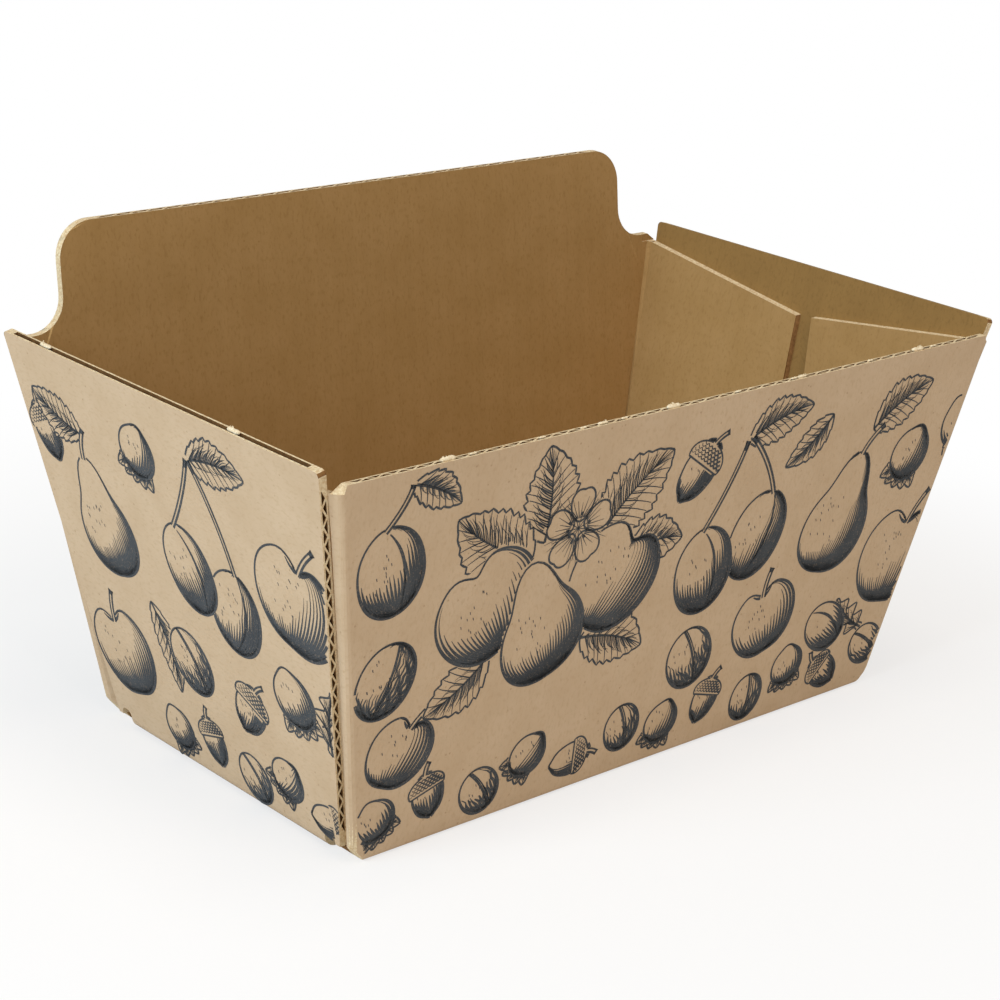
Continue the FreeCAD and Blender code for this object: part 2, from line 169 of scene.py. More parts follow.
def on_cut_edge(points):
    """Whether all of a face's points lie on one of the die-cut edges."""
    def all_at(measure):
        return all(abs(measure(point)) < NEAR for point in points)

    return (
        all_at(lambda p: p.z - RIM_HEIGHT)
        or all_at(lambda p: p.z - BACK_HEIGHT)
        or all_at(past_end_side)
    )


def finish_on_wall(wall, points, normal):
    """The finish of a face that lies in a wall or in the flap behind it, if it is plain to tell."""
    depths = [wall.depth(point) for point in points]
    if max(depths) > 2 * BOARD + NEAR or min(depths) < -NEAR:
        return None
    if abs(normal.dot(wall.out)) > PARALLEL:
        layer = round(sum(depths) / len(depths) / BOARD, 1)
        if layer == 0:
            return OUTER
        if layer in (1, 2) and normal.dot(wall.out) < 0:
            # An end wall's own inner face, behind its flaps, gets the darker copy of the inner liner:
            # painted shade.
            return END_INNER_PAINTED_SHADE if layer == 1 and wall.name in ("left", "right") else INNER
    layers = [(depth % BOARD) / BOARD for depth in depths]
    if min(layers) > CORE[0] and max(layers) < CORE[1] and not on_corner_fold(points):
        return FLUTE
    return None


def finish_of_bend(centre, normal):
    """The finish of a face on the rounded folds under the walls or on the four corner folds."""
    if centre.z < NOTCH_TOP and normal.z < -SLANTED:
        under_end = abs(centre.y) < END_FOLD_HALF and abs(normal.y) < SLANTED
        under_long = abs(normal.x) < SLANTED and abs(centre.y) > LONG_FOLD_START
        return OUTER if under_end or under_long else CUT
    upright = abs(normal.z) < UPRIGHT and BOARD / 3 < centre.z < RIM_HEIGHT - NEAR
    in_corner = abs(centre.x) > CORNER_START.x and abs(centre.y) > CORNER_START.y
    outward = normal.dot(Vector((centre.x, centre.y, 0)).normalized())
    if upright and in_corner and abs(outward) > SLANTED:
        return OUTER if outward > 0 else INNER
    return CUT


def finish_of(face):
    """Which paper shows on this face."""
    points = [vertex.co for vertex in face.verts]
    centre, normal = face.calc_center_median(), face.normal
    if on_cut_edge(points):
        return CUT
    if normal.z < -PARALLEL:
        return OUTER
    if normal.z > PARALLEL and centre.z < BASE_TOP:
        return INNER
    for wall in WALLS.values():
        finish = finish_on_wall(wall, points, normal)
        if finish is not None:
            return finish
    return finish_of_bend(centre, normal)


work = bmesh.new()
work.from_mesh(sheet.data)
work.normal_update()
counts = [0] * len(FINISHES)
for face in work.faces:
    face.material_index = finish_of(face)
    counts[face.material_index] += 1
work.to_mesh(sheet.data)
work.free()
print("faces by finish:", dict(zip(FINISHES, counts)))

# %% [markdown]
# ## Fit the edges
#
# The photographed board is nearer to 1.4 mm than to the solid's 1.5 mm, and the die has pressed its
# waves flatter, so the open flutes look narrower. Every point that lies in a wall or a flap gets a
# new depth under the wall's outer face, which stays where it is. Small things at the edges follow in
# the same way: the top of a corner fold steps down to its flap, the end walls' top corners are
# crisper, the flaps' top edges are pressed shut, and each flap's free end has its own lean.

# %% Where the points of the edges go
SOLID_DEPTHS = (0.0, 0.25 * MM, 1.25 * MM, 1.5 * MM, 3.0 * MM)
BOARD_DEPTHS = (0.0, 0.30 * MM, 1.10 * MM, 1.38 * MM, 2.76 * MM)
CRISP = 0.5                         # of the solid's radius at an end wall's top corners
CORNER_REACH = 2.2 * MM             # round such a corner
BEFORE_CREASE = 0.9 * MM
STEP_ACROSS = RIM_CREASE - BEFORE_CREASE
FLUTE_DEPTH = 2.5 * MM
SHUT = 0.98                         # of that depth, where a channel is pressed shut
IN_FLAP = (1.1, 1.9)                # thicknesses of board that the waved paper of a flap lies deep
IN_FOLD = 1 * MM                    # past an end wall's side edge, where its flap's flutes begin
FREE_END_LEAN = {-1: math.tan(math.radians(8.7)), 1: math.tan(math.radians(-3.5))}


def end_wall_at(point):
    return WALLS["right" if point.x > 0 else "left"]


def side_of(point):
    return -1 if point.y < 0 else 1


def at_rim(point):
    """Whether a point lies on the top edge of a long wall or of a corner fold."""
    return abs(point.z - RIM_HEIGHT) < NEAR and abs(point.y) > END_FOOT_SIDE


def pressed(wall, point):
    """The way from a point to its new depth under the wall's outer face."""
    depth = wall.depth(point)
    return wall.out * (depth - float(np.interp(depth, SOLID_DEPTHS, BOARD_DEPTHS)))


def flap_top(point):
    """Height of a flap's top edge at this point's place across the box."""
    return RIM_HEIGHT - FLAP_DROP - (RIM_HALF_WIDTH - BOARD - abs(point.y)) * FLAP_TOP_SLOPE


def in_pressed_flute(point, end):
    """Whether a point belongs to a channel in a flap's top edge."""
    in_layer = IN_FLAP[0] < end.depth(point) / BOARD < IN_FLAP[1]
    return in_layer and point.z > 0.8 * RIM_HEIGHT and past_end_side(point) < IN_FOLD


def below_flap_corner(point):
    """How far a point lies below the top of its flap's free end."""
    stop = FLAP_STOP[side_of(point)]
    return RIM_HEIGHT - FLAP_DROP - (RIM_HALF_WIDTH - stop - BOARD) * FLAP_TOP_SLOPE - point.z


def on_free_end(point, end):
    """Whether a point lies on the cut end of a flap."""
    down = below_flap_corner(point)
    aside = abs(point.y) - FLAP_STOP[side_of(point)] - down * FLAP_END_LEAN
    return abs(aside) < NEAR and end.depth(point) > BOARD - NEAR and down > -NEAR


def lean_free_end(point, end):
    """A flap's free end, with the lean that its side of the box has."""
    if not on_free_end(point, end):
        return Vector()
    more_lean = FREE_END_LEAN[side_of(point)] - FLAP_END_LEAN
    return Vector((0, side_of(point) * below_flap_corner(point) * more_lean, 0))


def crisp_corner(point, end):
    """A smaller radius, by drawing the rounded corner's points to the sharp corner."""
    corner = end.place(END_TOP_SIDE, END_HEIGHT / math.cos(END_LEAN))
    short = Vector((0, END_TOP_SIDE - abs(point.y), 0))
    below = (corner - point).dot(end.up)
    if end.depth(point) > BOARD + NEAR or short.y > CORNER_REACH or below > CORNER_REACH:
        return Vector()
    return (short * side_of(point) + end.up * below) * (1 - CRISP)


def fitted(point):
    """Where a point of the solid goes."""
    moved = Vector(point)
    end = end_wall_at(point)
    long_wall = WALLS["back" if point.y > 0 else "front"]
    in_end_wall = -NEAR < end.depth(point) < 2 * BOARD + NEAR and past_end_side(point) < FLAP_GAP
    if in_end_wall and abs(point.x) > 0.8 * HALF_LENGTH:
        moved += lean_free_end(point, end) + crisp_corner(point, end)
        if in_pressed_flute(point, end) and flap_top(point) - point.z > 0.5 * FLUTE_DEPTH:
            moved += end.up * FLUTE_DEPTH * SHUT
        if point.z > BOARD - NEAR:
            moved += pressed(end, point)
    if -NEAR < long_wall.depth(point) < BOARD + NEAR and point.z > BOARD - NEAR:
        moved += pressed(long_wall, point)
    if at_rim(point) and abs(point.x) > STEP_ACROSS + NEAR:
        moved -= long_wall.up * FLAP_DROP
    return moved


# %% [markdown]
# The step at a corner needs an edge of its own, so the rim is cut there first. The shut flutes take
# the pale cut paper, and the flaps' free ends the waved paper.

# %% Cut the rim at the corner steps, then move the points
work = bmesh.new()
work.from_mesh(sheet.data)
for across in (-STEP_ACROSS, STEP_ACROSS):
    rim_faces = [face for face in work.faces if any(at_rim(vertex.co) for vertex in face.verts)]
    rim_edges = {edge for face in rim_faces for edge in face.edges}
    rim_points = {vertex for face in rim_faces for vertex in face.verts}
    bmesh.ops.bisect_plane(work, geom=list(rim_points) + list(rim_edges) + rim_faces,
                           dist=0.001 * MM, plane_co=(across, 0, 0), plane_no=(1, 0, 0))
work.to_mesh(sheet.data)
work.free()

shut, free_end = set(), set()
for vertex in sheet.data.vertices:
    end = end_wall_at(vertex.co)
    if in_pressed_flute(vertex.co, end):
        shut.add(vertex.index)
    elif on_free_end(vertex.co, end):
        free_end.add(vertex.index)
for polygon in sheet.data.polygons:
    if shut.issuperset(polygon.vertices):
        polygon.material_index = CUT
    elif free_end.issuperset(polygon.vertices) and polygon.material_index == CUT:
        polygon.material_index = FLUTE
for vertex in sheet.data.vertices:
    vertex.co = fitted(vertex.co)
sheet.data.update()
print("points in pressed flutes:", len(shut), "and on free ends:", len(free_end))

# %% [markdown]
# ## A flat map of the blank
#
# Corrugated board has a direction: its flutes run down the long walls and flaps, across the base,
# and level along the end walls. A faint washboard shows through the liner, so each face gets a
# place on the flat blank, across the flutes and along them, in metres. That map is a UV map.

# %% Lay out the blank as a UV map
MOSTLY = 0.8            # a normal's share along an axis, for a face that counts as facing it
FLAP_FOOT = 7 * MM      # the flaps' lower edges


def blank_place(point, normal):
    """Across the flutes and along them, for a point of a face with this normal."""
    if abs(normal.y) > MOSTLY and abs(normal.z) < UPRIGHT:
        return point.x, point.z / math.cos(LONG_LEAN)
    if abs(normal.z) > MOSTLY:
        return point.x, point.y
    if abs(normal.x) > MOSTLY:
        up = point.z / math.cos(END_LEAN)
        on_flap = normal.x * point.x < 0 and point.z > FLAP_FOOT
        return (point.y, up) if on_flap else (up, point.y)
    return point.x + point.y, point.z


blank = sheet.data.uv_layers.get("blank") or sheet.data.uv_layers.new(name="blank")
for polygon in sheet.data.polygons:
    for loop_index in polygon.loop_indices:
        corner = sheet.data.vertices[sheet.data.loops[loop_index].vertex_index].co
        blank.data[loop_index].uv = blank_place(corner, polygon.normal)
sheet.data.uv_layers.active = blank
print("blank map on", len(sheet.data.loops), "corners")

# %% [markdown]
# ## Paper
#
# Kraft liner is unbleached wood pulp: warm brown, matt, cloudy at a few millimetres where the
# fibres clump, flecked with single dark fibres. The outside of this board is the paler side. Each
# paper is one recipe with other colours: noise for the clouds, stretched noise for the fibres,
# a Voronoi for the flecks, and bump from the same fibres and from the flutes beneath.

# %% Colour and node helpers
def srgb(code):
    """A hex colour as the shader's linear values."""
    parts = [int(code[index:index + 2], 16) / 255 for index in (0, 2, 4)]
    linear = [c / 12.92 if c <= 0.04045 else ((c + 0.055) / 1.055) ** 2.4 for c in parts]
    return (*linear, 1.0)


def add_node(material, kind, settings=None, links=None):
    """One shader node, with its settings and the outputs that feed its inputs."""
    tree = material.node_tree
    made = tree.nodes.new(kind)
    for name, value in (settings or {}).items():
        if isinstance(name, int) or name in made.inputs:
            made.inputs[name].default_value = value
        else:
            setattr(made, name, value)
    for name, source in (links or {}).items():
        tree.links.new(source, made.inputs[name])
    return made


def new_material(name, roughness, gloss):
    """A material and its shader, with how rough it is and how much it mirrors."""
    material = bpy.data.materials.new(name)
    material.use_nodes = True
    shader = material.node_tree.nodes["Principled BSDF"]
    shader.inputs["Roughness"].default_value = roughness
    shader.inputs["Specular IOR Level"].default_value = gloss
    return material, shader


def noise(material, place, size, detail, roughness=0.5):
    """Random blotches of about this size, as a value from 0 to 1."""
    made = add_node(material, "ShaderNodeTexNoise",
                    {"Scale": 1 / size, "Detail": detail, "Roughness": roughness}, {"Vector": place})
    return made.outputs["Fac"]


def mix_colours(material, factor, first, second, blend="MIX"):
    """Two colours mixed by a factor: each is a socket or a fixed colour."""
    made = add_node(material, "ShaderNodeMix", {"data_type": "RGBA", "blend_type": blend})
    slots = {"factor": made.inputs[0], "first": made.inputs[6], "second": made.inputs[7]}
    for name, value in (("factor", factor), ("first", first), ("second", second)):
        if isinstance(value, bpy.types.NodeSocket):
            material.node_tree.links.new(value, slots[name])
        else:
            slots[name].default_value = value
    return made.outputs[2]


def ramp(material, source, low, high):
    """A value stretched so that low gives 0 and high gives 1."""
    made = add_node(material, "ShaderNodeMapRange",
                    {"From Min": low, "From Max": high, "clamp": True}, {"Value": source})
    return made.outputs["Result"]


def coat(material, shader, colour, height=None, strength=0.0, depth=0.0):
    """Gives the shader its colour and, where there is a height, its bump."""
    links = material.node_tree.links
    links.new(colour, shader.inputs["Base Color"])
    if height is not None:
        bump = add_node(material, "ShaderNodeBump", {"Strength": strength, "Distance": depth},
                        {"Height": height})
        links.new(bump.outputs["Normal"], shader.inputs["Normal"])


# %% [markdown]
# ### Liner
#
# Clouds and flecks follow the space round the box, and the fibres and the washboard follow the flat
# map, because they were in the sheet before it was folded.

# %% Kraft liner
CLOUD_SIZE = 9 * MM
FIBRE_WIDTH = 0.55 * MM
FIBRE_STRETCH = 0.45        # the pattern's scale along the flutes, so fibres are twice as long
FLECK_SPACING = 2.2 * MM
STRIPE_HEIGHT = 0.8         # of the washboard, where a fibre's height is 1
LINER_RELIEF = 0.05 * MM
PULP_RELIEF = 0.12 * MM
BANDS = 2 * math.pi / 20    # a wave texture's scale for one band each unit


def kraft_liner(name, base, cloud, fibre, fleck, washboard):
    """Matt wood-pulp paper, with clouds, fibres and flecks in the three colours given."""
    material, shader = new_material(name, 0.82, 0.25)
    place = add_node(material, "ShaderNodeTexCoord").outputs["Object"]
    blank_map = add_node(material, "ShaderNodeUVMap", {"uv_map": "blank"}).outputs["UV"]

    clouds = noise(material, place, CLOUD_SIZE, 4.0, 0.55)
    colour = mix_colours(material, ramp(material, clouds, 0.35, 0.68), srgb(base), srgb(cloud))
    grain_map = add_node(material, "ShaderNodeMapping",
                         {"Scale": (1.0, FIBRE_STRETCH, 1.0)}, {"Vector": blank_map})
    fibres = noise(material, grain_map.outputs["Vector"], FIBRE_WIDTH, 3.0, 0.65)
    colour = mix_colours(material, ramp(material, fibres, 0.5, 0.78), colour, srgb(fibre))
    specks = add_node(material, "ShaderNodeTexVoronoi", {"Scale": 1 / FLECK_SPACING},
                      {"Vector": place})
    speck_share = ramp(material, specks.outputs["Distance"], 0.11, 0.04)
    colour = mix_colours(material, speck_share, colour, srgb(fleck))

    stripes = add_node(material, "ShaderNodeTexWave",
                       {"Scale": BANDS / FLUTE_PITCH, "Distortion": 0.6, "Detail": 1.0,
                        "wave_profile": "SIN", "bands_direction": "X"}, {"Vector": blank_map})
    colour = mix_colours(material, washboard, colour,
                         mix_colours(material, stripes.outputs["Fac"], srgb(fibre), srgb(cloud)))
    heights = add_node(material, "ShaderNodeMath",
                       {"operation": "MULTIPLY_ADD", 1: STRIPE_HEIGHT},
                       {0: stripes.outputs["Fac"], 2: fibres})
    coat(material, shader, colour, heights.outputs["Value"], 0.35, LINER_RELIEF)
    return material


outer_liner = kraft_liner("kraft_liner_outside", "C5AC8D", "BEA484", "B69B7A", "A98D6C", 0.08)
inner_liner = kraft_liner("kraft_liner_inside", "AB8856", "A4814E", "967443", "9A7846", 0.12)
# The inner liner again, painted darker for the shade inside the end walls.
end_liner_painted_shade = kraft_liner("kraft_liner_inside_ends_painted_shade", "94723F", "8D6C3B", "806133", "846636", 0.12)
print("liners:", outer_liner.name, inner_liner.name, end_liner_painted_shade.name)

# %% [markdown]
# ### Cut edge and waved paper
#
# A die shears the board, so a fresh edge shows torn fibres that are paler than the liner, pressed
# together a little. The waved paper in the open flutes is a thinner, browner pulp; it is mostly in
# shade.

# %% Cut edge and waved paper
def raw_pulp(name, base, shade, grain, roughness):
    """Bare fibres: a coarse speckle of two colours, with bump."""
    material, shader = new_material(name, roughness, 0.2)
    place = add_node(material, "ShaderNodeTexCoord").outputs["Object"]
    speckle = noise(material, place, grain, 5.0, 0.7)
    colour = mix_colours(material, ramp(material, speckle, 0.36, 0.66), srgb(shade), srgb(base))
    coat(material, shader, colour, speckle, 0.6, PULP_RELIEF)
    return material


cut_edge = raw_pulp("sheared_pulp_edge", "E2D2AE", "BFA27A", 0.5 * MM, 0.9)
waved_paper = raw_pulp("waved_fluting_paper", "8A6339", "6B4A28", 0.9 * MM, 0.9)
sheet.data.materials[0] = outer_liner
for material in (inner_liner, cut_edge, waved_paper, end_liner_painted_shade):
    sheet.data.materials.append(material)
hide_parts("tray_box")
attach(sheet, "root")
print("papers:", [material.name for material in sheet.data.materials])

# %% [markdown]
# ## The print
#
# The outside is printed in one slate-blue ink, in the manner of old copper engravings: fruit, nuts
# and leaves whose shading is made of lines that swell in the shade and thin out in the light. No
# picture is used. Each drawing is worked out from a plain outline, and each pen line is a strip of
# faces a few hundredths of a millimetre proud of the paper. Thousands of lines can't be
# drawn by hand tools, so a small drawing kit makes them: it knows what a nearer fruit hides.

# %% A drawing kit: strokes, with what lies in front masked
STROKE_MIN = 0.05
rng = random.Random(7)


def inside(points, outline):
    """Which points lie inside a closed outline."""
    across, up = points[:, 0][:, None], points[:, 1][:, None]
    x0, y0 = outline[:, 0], outline[:, 1]
    x1, y1 = np.roll(x0, -1), np.roll(y0, -1)
    rise = np.where(y1 == y0, 1e-9, y1 - y0)
    crossed = ((y0 > up) != (y1 > up)) & (across < x0 + (up - y0) * (x1 - x0) / rise)
    return crossed.sum(axis=1) % 2 == 1


class Pen:
    """A pen on one wall and the ink it leaves, in millimetres across and up the wall's face."""

    def __init__(self, border):
        self.border = np.array(border, dtype=float)
        self.masks = []
        self.points = []
        self.faces = []

    def shown(self, path):
        seen = inside(path, self.border)
        for outline, centre, reach in self.masks:
            near = np.hypot(*(path - centre).T) < reach
            if near.any():
                seen &= ~(near & inside(path, outline))
        return seen

    def stroke(self, path, widths):
        """A pen line of changing width, broken where it is hidden or too thin."""
        path = np.array(path, dtype=float)
        widths = np.broadcast_to(np.array(widths, dtype=float), len(path))
        steps = np.gradient(path, axis=0)
        steps /= np.maximum(np.hypot(*steps.T), 1e-9)[:, None]
        side = np.stack((-steps[:, 1], steps[:, 0]), axis=1) * widths[:, None] / 2
        seen = self.shown(path) & (widths > STROKE_MIN)
        for index in range(len(path) - 1):
            if seen[index] and seen[index + 1]:
                first = len(self.points)
                for at, sign in ((index, -1), (index + 1, -1), (index + 1, 1), (index, 1)):
                    self.points.append(tuple(path[at] + sign * side[at]))
                self.faces.append(tuple(range(first, first + 4)))

    def mask(self, outline, gap=0.25):
        """What is drawn later stays behind this outline, with a hair of paper round it."""
        outline = np.array(outline, dtype=float)
        centre = outline.mean(axis=0)
        away = outline - centre
        outline = centre + away * (1 + gap / np.maximum(np.hypot(*away.T), 1e-6))[:, None]
        self.masks.append((outline, centre, np.hypot(*(outline - centre).T).max() + gap))


def turned(points, tilt, centre, size=1.0):
    """Points of a motif's own frame put on the wall: sized, tilted and moved."""
    points = np.array(points, dtype=float) * size
    cos_t, sin_t = math.cos(tilt), math.sin(tilt)
    return points @ np.array([[cos_t, sin_t], [-sin_t, cos_t]]) + np.array(centre)


# %% [markdown]
# An engraver shades a round fruit with lines from stem to base that follow its form. Here each line
# is a meridian of a ball whose outline is stretched to the fruit's, and it is as wide as that place
# is dark.

# %% Round bodies shaded with meridians
LIGHT = np.array([-0.50, 0.55, 0.67])
LINE_SPACING = 0.72


def fruit(pen, centre, size, tilt, radius, wrinkle=0.0, contrast=1.55, level=0.40):
    """A round body, its outline given by a radius for each angle from the stem."""
    angles = np.linspace(-math.pi, math.pi, 73)
    edge = np.array([(radius(a) * math.sin(a), radius(a) * math.cos(a)) for a in angles])
    outline = turned(edge, tilt, centre, size / 2)
    away = turned(edge, tilt, (0, 0))
    away /= np.hypot(*away.T)[:, None]
    shade = np.clip(0.5 - away @ LIGHT[:2] * 0.8, 0, 1)
    pen.stroke(outline, 0.38 + 0.50 * shade)

    count = max(7, int(size * 0.95 / LINE_SPACING))
    along = np.linspace(-math.pi / 2, math.pi / 2, max(12, int(size * 1.5)))
    for index in range(1, count):
        start = -1 + 2 * index / count
        wave = wrinkle * np.sin(along * 9 + index * 1.7) + wrinkle * np.sin(along * 17 + index)
        x = np.clip((start + wave) * np.cos(along), -0.999, 0.999)
        y = np.sin(along) * 0.995
        reach = np.minimum(x * x + y * y, 0.999)
        around = np.arctan2(x, y)
        stretch = np.array([radius(a) for a in around])
        path = turned(np.stack((x * stretch, y * stretch), axis=1), tilt, centre, size / 2)
        flat = turned(np.stack((x, y), axis=1), tilt, (0, 0))
        normal = np.column_stack((flat, np.sqrt(1 - reach)))
        tone = 1 - normal @ LIGHT + 0.28 * reach ** 5 + rng.uniform(-0.07, 0.07)
        bounce = 0.42 * np.clip(reach - 0.72, 0, 1) * (tone > 0.9)
        width = LINE_SPACING * np.clip(contrast * (tone - level) - bounce * 2, 0, 0.84)
        pen.stroke(path, width * (0.35 + 0.65 * np.cos(along) ** 0.5))
    for _ in range(int(size * 0.8)):
        spot = turned([(rng.uniform(-0.55, 0.1), rng.uniform(-0.3, 0.55))], tilt, centre, size / 2)[0]
        dash = np.array([spot, spot + (0.18, -0.5)])
        pen.stroke(dash, (0.16, 0.12))
    pen.mask(outline)


def bump_at(angle, middle, spread):
    """A smooth bump of 1 at an angle, fading over the spread given."""
    gap = (angle - middle + math.pi) % (2 * math.pi) - math.pi
    return math.exp(-(gap / spread) ** 2)


def stalk(pen, path, width):
    """A stem drawn as two lines with a dark end."""
    path = np.array(path, dtype=float)
    steps = np.gradient(path, axis=0)
    steps /= np.hypot(*steps.T)[:, None]
    side = np.stack((-steps[:, 1], steps[:, 0]), axis=1) * width / 2
    pen.stroke(path + side, 0.34)
    pen.stroke(path - side, 0.46)
    pen.stroke(path[-3:], np.linspace(width, width * 1.9, 3))
    pen.mask(np.vstack((path + side, (path - side)[::-1])), gap=0.1)


def bend(start, middle, end, count=14):
    """A smooth line through the pull of a middle point."""
    t = np.linspace(0, 1, count)[:, None]
    start, middle, end = (np.array(point, dtype=float) for point in (start, middle, end))
    return (1 - t) ** 2 * start + 2 * t * (1 - t) * middle + t * t * end


# %% [markdown]
# Three fruits differ only in their outline: an apple has a hollow at the stem, a pear a neck, and a
# plum is an oval with a crease.

# %% Apples, pears and plums
def apple_radius(angle):
    return (0.99 - 0.30 * bump_at(angle, 0, 0.30) - 0.06 * bump_at(angle, math.pi, 0.35)
            + 0.05 * bump_at(abs(angle), 1.1, 0.6))


def pear_radius(angle):
    return 0.76 + 0.56 * bump_at(angle, 0, 0.42) + 0.06 * bump_at(abs(angle), 2.3, 0.7)


def plum_radius(angle):
    return 0.92 + 0.10 * math.cos(2 * angle) + 0.03 * bump_at(angle, 0, 0.4)


def apple(pen, centre, size, tilt, stem=True):
    if stem:
        top = turned([(0.02, 0.62), (0.10, 1.0), (0.34, 1.32)], tilt, centre, size / 2)
        stalk(pen, bend(*top), 0.75)
        hollow = turned(bend((-0.30, 0.80), (0.0, 0.48), (0.30, 0.82), 12), tilt, centre, size / 2)
        pen.stroke(hollow, 0.2 + 0.5 * np.sin(np.linspace(0, math.pi, 12)))
    fruit(pen, centre, size, tilt, apple_radius)


def pear(pen, centre, size, tilt, stem=True):
    if stem:
        top = turned([(0.0, 1.26), (0.05, 1.55), (0.30, 1.80)], tilt, centre, size / 2)
        stalk(pen, bend(*top), 0.8)
    fruit(pen, centre, size, tilt, pear_radius, contrast=1.5, level=0.44)


def plum(pen, centre, size, tilt, stem=None):
    if stem is not None:
        foot = turned([(0.0, 0.98)], tilt, centre, size / 2)[0]
        stalk(pen, bend(foot, (foot + np.array(stem)) / 2 + (1.6, 0.6), stem, 18), 0.7)
    crease = turned(bend((0.05, 0.98), (0.62, 0.1), (0.1, -0.92), 20), tilt, centre, size / 2)
    pen.stroke(crease, 0.15 + 0.45 * np.sin(np.linspace(0, math.pi, 20)))
    fruit(pen, centre, size, tilt, plum_radius, contrast=1.7, level=0.36)


# %% [markdown]
# Leaves are drawn from a bent rib with teeth and veins, and hatched on the side away from the light.
# Nuts are round bodies too, with a husk, a cup or a seam.

# %% Leaves, a blossom, nuts and acorns
def leaf(pen, foot, tip, width, teeth=9, lobed=False, curl=0.12, dark_side=1):
    """A leaf from foot to tip, toothed or lobed, with veins and hatching between them."""
    foot, tip = np.array(foot, dtype=float), np.array(tip, dtype=float)
    run = tip - foot
    length = float(np.hypot(*run))
    across = np.array([-run[1], run[0]]) / length
    rib = bend(foot, (foot + tip) / 2 + across * curl * length, tip, 40)
    t = np.linspace(0, 1, 40)
    shape = np.sin(math.pi * t ** 0.85) ** 0.8 * width / 2
    if lobed:
        rim = shape * (0.72 + 0.34 * np.cos(t * 2 * math.pi * teeth / 2))
    else:
        saw = (t * teeth) % 1.0
        rim = shape * (0.90 + 0.20 * saw)
    edges = [rib + across * rim[:, None], rib - across * rim[:, None]]
    pen.stroke(rib, np.linspace(0.55, 0.18, 40))
    for side, edge in zip((1, -1), edges):
        pen.stroke(edge, 0.38)
        for vein in range(1, teeth):
            start = int(40 * vein / (teeth + 1) * 0.9)
            end = min(39, start + 7)
            line = bend(rib[start], (rib[start] + edge[end]) / 2 + run / length * 0.5,
                        rib[end] * 0.06 + edge[end] * 0.94, 9)
            pen.stroke(line, np.linspace(0.26, 0.12, 9))
            shaded = side == dark_side
            for hatch in range(1, 5 if shaded else 3):
                shift = start + hatch * (40 / (teeth + 1)) / 5
                low = int(shift)
                high = min(39, low + 7)
                far = rng.uniform(0.45, 0.8) if shaded else rng.uniform(0.25, 0.45)
                line = bend(rib[low], rib[low] * 0.5 + edge[high] * 0.5,
                            rib[high] * (1 - far) + edge[high] * far, 7)
                pen.stroke(line, np.linspace(0.24 if shaded else 0.15, 0.06, 7))
    pen.mask(np.vstack((edges[0], edges[1][::-1])), gap=0.15)


def blossom(pen, centre, size, tilt):
    """Five petals with fine lines from the middle, and stamens."""
    for stamen in range(11):
        angle = tilt + stamen * 2 * math.pi / 11
        reach = size * rng.uniform(0.13, 0.19)
        way = np.array([math.cos(angle), math.sin(angle)])
        tip = np.array(centre) + way * reach
        pen.stroke([centre, tip], (0.16, 0.16))
        pen.stroke([tip - way * 0.22, tip + way * 0.34], (0.55, 0.5))
    for petal in range(5):
        angle = tilt + petal * 2 * math.pi / 5
        t = np.linspace(-math.pi, math.pi, 31)
        rim = np.stack((0.56 + 0.40 * np.cos(t), 0.33 * np.sin(t) * (1 + 0.25 * np.cos(t))), axis=1)
        rim[:, 0] -= 0.05 * np.exp(-(t / 0.25) ** 2)
        outline = turned(rim, angle, centre, size / 2)
        pen.stroke(outline, 0.38)
        for line in range(-4, 5):
            way = line * 0.065
            fold = turned([(0.24, way * 0.5), (0.42 + 0.05 * (line % 2), way * 1.4),
                           (0.60 + 0.06 * (line % 3), way * 2.4)], angle, centre, size / 2)
            pen.stroke(bend(*fold, 7), np.linspace(0.2, 0.06, 7))
        pen.mask(outline, gap=0.05)


def hazelnut(pen, centre, size, tilt):
    """A round nut that sits in its frilled husk."""
    def nut(angle):
        return 0.90 + 0.12 * bump_at(angle, 0, 0.35)

    scar = turned([(0.62 * math.cos(a), -0.60 - 0.22 * math.sin(a)) for a in
                   np.linspace(0, math.pi, 16)], tilt, centre, size / 2)
    pen.stroke(scar, 0.3)
    fruit(pen, centre, size, tilt, nut, contrast=1.8, level=0.34)
    for frill in range(5):
        lean = (frill - 2) * 0.42
        foot = turned([(0.25 * math.sin(lean), -0.55)], tilt, centre, size / 2)[0]
        tip = turned([(1.25 * math.sin(lean), -0.62 - 0.62 * math.cos(lean))], tilt, centre, size / 2)[0]
        leaf(pen, foot, tip, size * 0.30, teeth=3, curl=0.1 * (frill - 2))


def acorn(pen, centre, size, tilt):
    """A smooth nut with a point, in a scaly cup."""
    def kernel(angle):
        return 0.72 + 0.30 * abs(math.cos(angle)) ** 3 + 0.10 * bump_at(angle, math.pi, 0.14)

    cup = np.array([(0.86 * math.cos(a), 0.34 + 0.56 * math.sin(a)) for a in
                    np.linspace(-0.35, math.pi + 0.35, 40)])
    placed = turned(cup, tilt, centre, size / 2)
    stalk(pen, bend(*turned([(0, 0.9), (0.05, 1.2), (0.28, 1.45)], tilt, centre, size / 2)), 0.7)
    pen.stroke(np.vstack((placed, placed[:1])), 0.34)
    for row in range(6):
        rise = 0.30 + row * 0.11
        for scale in range(9):
            side = (scale - 4 + 0.5 * (row % 2)) * 0.19
            if side ** 2 / 0.74 + (rise - 0.34) ** 2 / 0.30 > 0.85:
                continue
            scallop = turned(bend((side - 0.09, rise + 0.05), (side, rise - 0.09),
                                  (side + 0.09, rise + 0.05), 6), tilt, centre, size / 2)
            pen.stroke(scallop, 0.14 + 0.22 * (side + 0.6))
    pen.mask(placed, gap=0.1)
    fruit(pen, centre, size, tilt, kernel, contrast=1.8, level=0.36)


